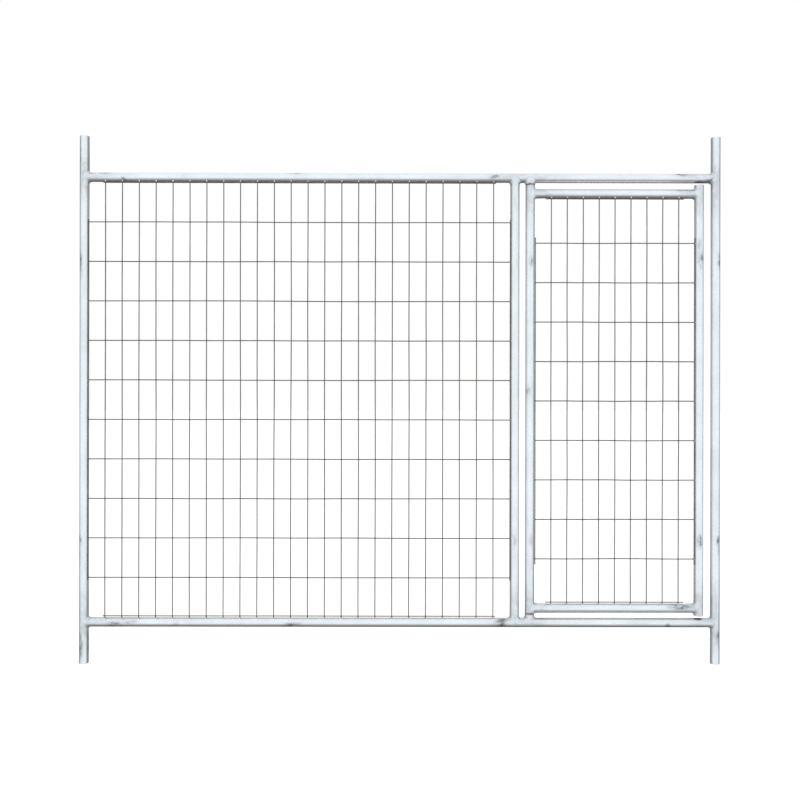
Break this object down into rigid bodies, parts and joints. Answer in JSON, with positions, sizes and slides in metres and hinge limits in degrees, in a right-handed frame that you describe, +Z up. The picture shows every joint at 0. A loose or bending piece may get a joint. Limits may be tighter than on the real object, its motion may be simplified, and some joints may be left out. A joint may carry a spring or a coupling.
{
  "type": "livestock panel gate",
  "caption": "Free-standing tube-framed welded wire mesh panel with a narrow full-height mesh gate hung between its rails on internal pins.",
  "frame": {"origin": "on the ground midway between the outer posts, in the plane of the tube axes", "axes": "+X along the panel to the right seen from the front, +Y through the panel to the back, +Z up. The mesh lies a little in front of the tube axes, on the -Y side. The gate is at the +X end."},
  "size_m": [2.435, 0.039, 2],
  "materials": {
    "galvanised_tube": "hot-dip galvanised, bright satin with faint spangle and grey stains by the welds",
    "galvanised_wire": "hot-dip galvanised wire, duller than the tube",
    "galvanised_weld": "weld bead under the zinc coat, slightly rough",
    "pin_steel": "plain turned steel, greased"
  },
  "bodies": {
    "frame": {"left_post": "galvanised_tube", "right_post": "galvanised_tube", "top_rail": "galvanised_tube", "bottom_rail": "galvanised_tube", "mullion_post": "galvanised_tube", "upper_hinge_stub": "galvanised_tube", "lower_hinge_stub": "galvanised_tube", "upper_hinge_pin": "pin_steel", "lower_hinge_pin": "pin_steel", "panel_mesh_upright_wires": "galvanised_wire", "panel_mesh_cross_wires": "galvanised_wire", "panel_mesh_side_edge_wires": "galvanised_wire", "panel_mesh_end_edge_wires": "galvanised_wire", "panel_mesh_tack_welds": "galvanised_weld", "left_post_top_weld": "galvanised_weld", "left_post_bottom_weld": "galvanised_weld", "right_post_top_weld": "galvanised_weld", "right_post_bottom_weld": "galvanised_weld", "mullion_top_weld": "galvanised_weld", "mullion_bottom_weld": "galvanised_weld", "upper_stub_weld": "galvanised_weld", "lower_stub_weld": "galvanised_weld"},
    "gate": {"gate_hinge_stile": "galvanised_tube", "gate_latch_stile": "galvanised_tube", "gate_top_rail": "galvanised_tube", "gate_bottom_rail": "galvanised_tube", "gate_mesh_upright_wires": "galvanised_wire", "gate_mesh_cross_wires": "galvanised_wire", "gate_mesh_side_edge_wires": "galvanised_wire", "gate_mesh_end_edge_wires": "galvanised_wire", "gate_mesh_tack_welds": "galvanised_weld", "hinge_stile_top_weld": "galvanised_weld", "hinge_stile_bottom_weld": "galvanised_weld", "latch_stile_top_weld": "galvanised_weld", "latch_stile_bottom_weld": "galvanised_weld"}
  },
  "joints": [
    {"name": "gate_swing", "type": "hinge", "parent": "frame", "child": "gate", "pos_m": [0.494, 0, 0.9975], "axis": [0, 0, 1], "range_deg": [-135, 135]}
  ]
}
